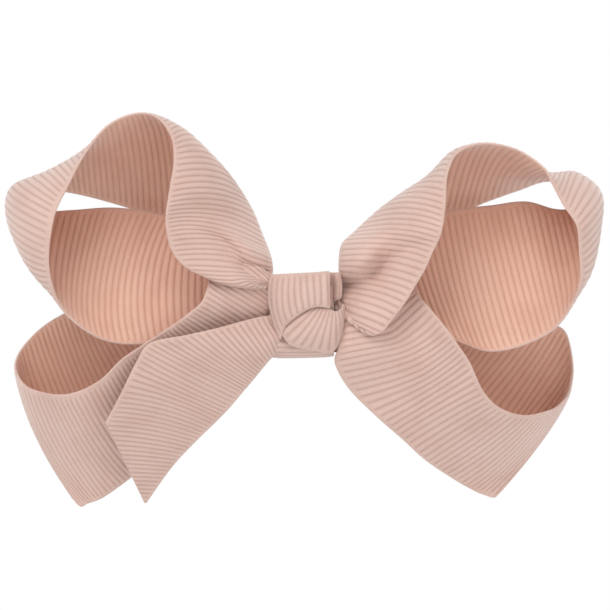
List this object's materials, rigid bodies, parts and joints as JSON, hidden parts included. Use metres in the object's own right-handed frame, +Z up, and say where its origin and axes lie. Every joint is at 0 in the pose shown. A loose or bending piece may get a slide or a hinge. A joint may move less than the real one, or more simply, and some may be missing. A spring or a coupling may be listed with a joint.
{
  "type": "ribbon hair bow on an alligator clip",
  "caption": "Hair bow folded from wide ribbed ribbon into looped folds and a slanted tail, gathered under a small ribbon knot and glued to a sprung hair clip.",
  "frame": {"origin": "between the clip's jaws, level with the middle of the knot, where the hair is gripped", "axes": "+X along the bow towards the clip's hinge end, +Y towards the head, +Z up as the bow is worn"},
  "size_m": [0.1011, 0.0281, 0.0668],
  "materials": {
    "bow_ribbon": "matte",
    "knot_ribbon": "matte",
    "thread": "matte",
    "glue": "gloss",
    "clip_steel": "satin",
    "spring_steel": "satin"
  },
  "bodies": {
    "bow": {"upper_left_loop": "bow_ribbon", "upper_right_loop": "bow_ribbon", "lower_left_loop": "bow_ribbon", "lower_right_loop": "bow_ribbon", "left_tail": "bow_ribbon", "gathered_waist": "bow_ribbon", "gathering_thread": "thread", "knot_wrap": "knot_ribbon", "knot_lower_strand": "knot_ribbon", "knot_upper_strand": "knot_ribbon", "glue_pad": "glue", "clip_plate": "clip_steel", "clip_lining": "knot_ribbon", "clip_pin": "clip_steel", "clip_spring": "spring_steel"},
    "prong": {"clip_prong": "clip_steel"}
  },
  "joints": [
    {"name": "prong_hinge", "type": "hinge", "parent": "bow", "child": "prong", "pos_m": [0.011, 0.0024, 0], "axis": [0, 0, -1], "range_deg": [0, 28], "stiffness_Nm_per_rad": 0.06, "springref_deg": -34.38, "deforming": ["clip_spring"]}
  ]
}
